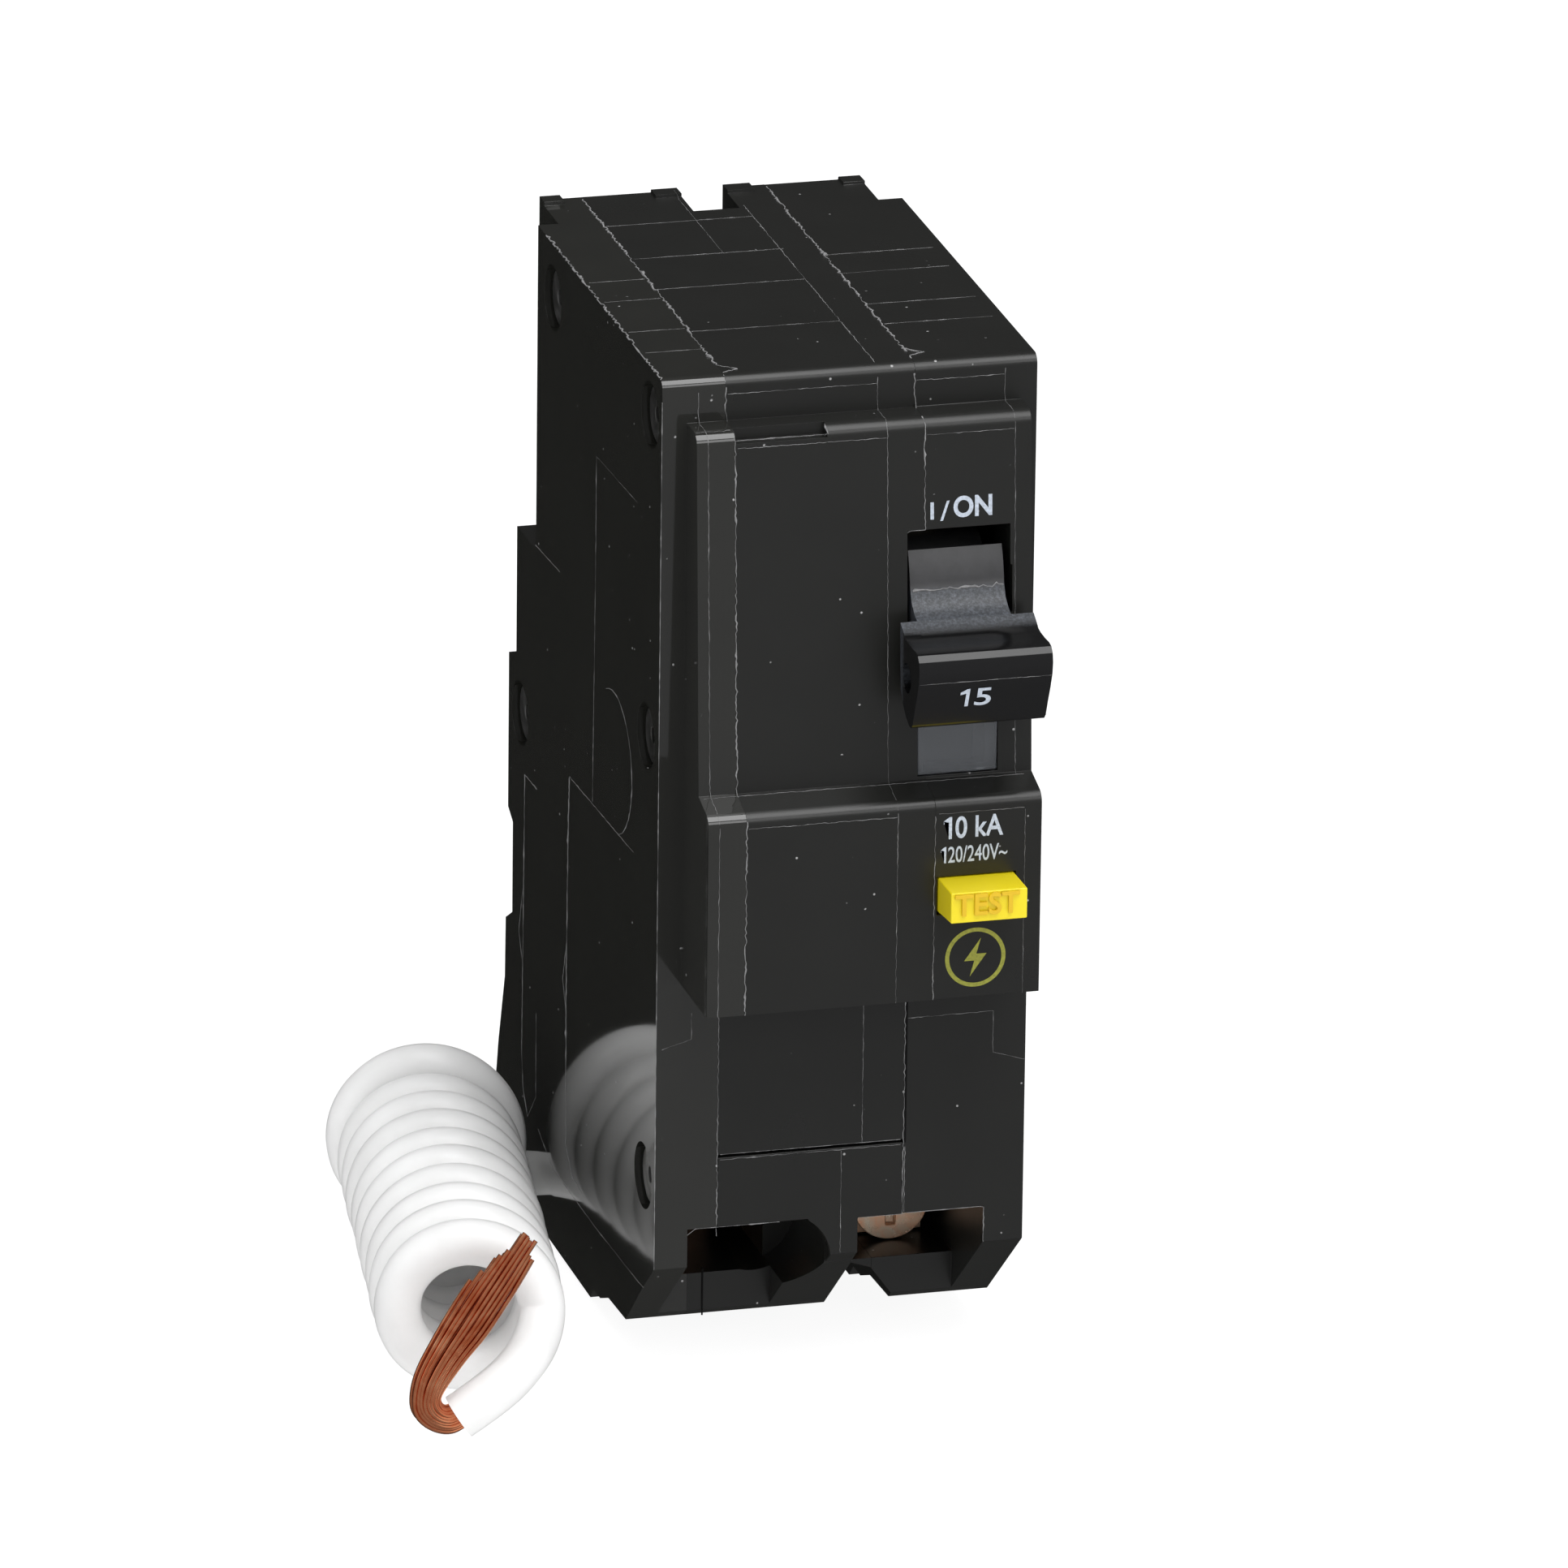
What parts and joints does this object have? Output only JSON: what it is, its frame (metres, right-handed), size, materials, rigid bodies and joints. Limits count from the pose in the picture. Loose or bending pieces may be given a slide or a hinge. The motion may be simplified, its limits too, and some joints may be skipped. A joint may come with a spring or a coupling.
{
  "type": "gfci breaker",
  "caption": "Plug-on ground-fault circuit breaker with a rocking handle, test button, indicator window, screw terminals and a coiled white neutral pigtail.",
  "frame": {"origin": "on the floor, under the middle of the case's width and depth, with the breaker standing on its load end", "axes": "+Z from the load end up to the line end, -Y is the front with the handle, +Y the side that plugs onto the bus, +X to the right seen from the front"},
  "size_m": [0.0658, 0.0786, 0.1076],
  "materials": {
    "case_plastic": "glossy black phenolic moulding",
    "handle_plastic": "glossy black moulding",
    "button_plastic": "glossy yellow moulding",
    "lens_plastic": "clear",
    "flag_plastic": "satin orange",
    "inner_plastic": "satin dark grey",
    "plated_steel": "zinc plated",
    "chromated_steel": "yellow chromated zinc",
    "tinned_brass": "tinned copper alloy",
    "contact_silver": "silver alloy",
    "bare_copper": "bare stranded copper",
    "winding_copper": "enamelled winding",
    "white_insulation": "satin white vinyl",
    "black_insulation": "satin black vinyl",
    "board_laminate": "green laminate",
    "component_body": "coated component bodies"
  },
  "bodies": {
    "case": {"left_cover": "case_plastic", "centre_case": "case_plastic", "right_cover": "case_plastic", "terminal_insert": "case_plastic", "rivets": "plated_steel", "handle_pin": "plated_steel", "indicator_lens": "lens_plastic", "test_contact_spring": "tinned_brass", "line_jaw_a": "tinned_brass", "line_jaw_b": "tinned_brass", "jaw_spring_a": "plated_steel", "jaw_spring_b": "plated_steel", "line_strap_a": "tinned_brass", "line_strap_b": "tinned_brass", "fixed_contact_a": "contact_silver", "fixed_contact_b": "contact_silver", "arc_plates_a": "plated_steel", "arc_plates_b": "plated_steel", "toggle_spring_a": "plated_steel", "toggle_spring_b": "plated_steel", "contact_pin": "plated_steel", "cradle_pin": "plated_steel", "magnet_yoke_a": "plated_steel", "magnet_yoke_b": "plated_steel", "bimetal_a": "tinned_brass", "bimetal_b": "tinned_brass", "circuit_board": "board_laminate", "solenoid_frame": "plated_steel", "solenoid_coil": "winding_copper", "sensor_toroid": "winding_copper", "capacitor": "component_body", "surge_disc": "component_body", "control_chip": "inner_plastic", "resistors": "component_body", "terminal_screws": "chromated_steel", "clamp_plates": "chromated_steel", "load_lug_a": "tinned_brass", "load_lug_b": "tinned_brass", "load_lead_a": "black_insulation", "load_lead_b": "black_insulation", "flex_braids": "bare_copper", "pigtail_grommet": "inner_plastic", "pigtail_lead": "white_insulation", "pigtail_coil": "white_insulation", "pigtail_tail": "white_insulation", "pigtail_strands": "bare_copper"},
    "handle": {"handle": "handle_plastic"},
    "contact_a": {"contact_arm_a": "tinned_brass", "moving_contact_a": "contact_silver"},
    "contact_b": {"contact_arm_b": "tinned_brass", "moving_contact_b": "contact_silver"},
    "test_button": {"test_button": "button_plastic"},
    "trip_flag": {"trip_flag": "flag_plastic"},
    "plunger": {"plunger": "plated_steel"},
    "trip_bar": {"trip_bar": "inner_plastic"},
    "armature_a": {"armature_a": "plated_steel"},
    "armature_b": {"armature_b": "plated_steel"},
    "cradle_a": {"cradle_a": "plated_steel"},
    "cradle_b": {"cradle_b": "plated_steel"}
  },
  "joints": [
    {"name": "handle_throw", "type": "hinge", "parent": "case", "child": "handle", "pos_m": [0, -0.0188, 0.0832], "axis": [-1, 0, 0], "range_deg": [0, 36]},
    {"name": "contact_a_close", "type": "hinge", "parent": "case", "child": "contact_a", "pos_m": [0, -0.0068, 0.0662], "axis": [-1, 0, 0], "range_deg": [0, 14.4]},
    {"name": "contact_b_close", "type": "hinge", "parent": "case", "child": "contact_b", "pos_m": [0, -0.0068, 0.0662], "axis": [-1, 0, 0], "range_deg": [0, 14.4]},
    {"name": "test_press", "type": "slide", "parent": "case", "child": "test_button", "axis": [0, 1, 0], "range_m": [0, 0.0015], "stiffness_N_per_m": 900},
    {"name": "flag_rise", "type": "slide", "parent": "case", "child": "trip_flag", "axis": [0, 0, 1], "range_m": [0, 0.006]},
    {"name": "plunger_push", "type": "slide", "parent": "case", "child": "plunger", "axis": [0, 1, 0], "range_m": [0, 0.00045], "stiffness_N_per_m": 400},
    {"name": "trip_bar_turn", "type": "hinge", "parent": "case", "child": "trip_bar", "pos_m": [0, 0.0062, 0.0362], "axis": [-1, 0, 0], "range_deg": [0, 5]},
    {"name": "armature_a_pull", "type": "hinge", "parent": "case", "child": "armature_a", "pos_m": [0.01015, 0.0128, 0.0686], "axis": [1, 0, 0], "range_deg": [0, 2.5], "stiffness_Nm_per_rad": 0.02},
    {"name": "armature_b_pull", "type": "hinge", "parent": "case", "child": "armature_b", "pos_m": [-0.00945, 0.0128, 0.0686], "axis": [1, 0, 0], "range_deg": [0, 2.5], "stiffness_Nm_per_rad": 0.02},
    {"name": "cradle_a_swing", "type": "hinge", "parent": "case", "child": "cradle_a", "pos_m": [0.01295, 0.0092, 0.0782], "axis": [-1, 0, 0], "range_deg": [0, 12]},
    {"name": "cradle_b_swing", "type": "hinge", "parent": "case", "child": "cradle_b", "pos_m": [-0.00665, 0.0092, 0.0782], "axis": [-1, 0, 0], "range_deg": [0, 12]}
  ],
  "couplings": [
    {"joint": "contact_a_close", "follows": "handle_throw", "ratio": 0.4},
    {"joint": "contact_b_close", "follows": "handle_throw", "ratio": 0.4},
    {"joint": "trip_bar_turn", "follows": "plunger_push", "rad_per_m": 193.93},
    {"joint": "cradle_b_swing", "follows": "cradle_a_swing", "ratio": 1},
    {"joint": "flag_rise", "follows": "cradle_a_swing", "m_per_rad": 0.028648}
  ]
}
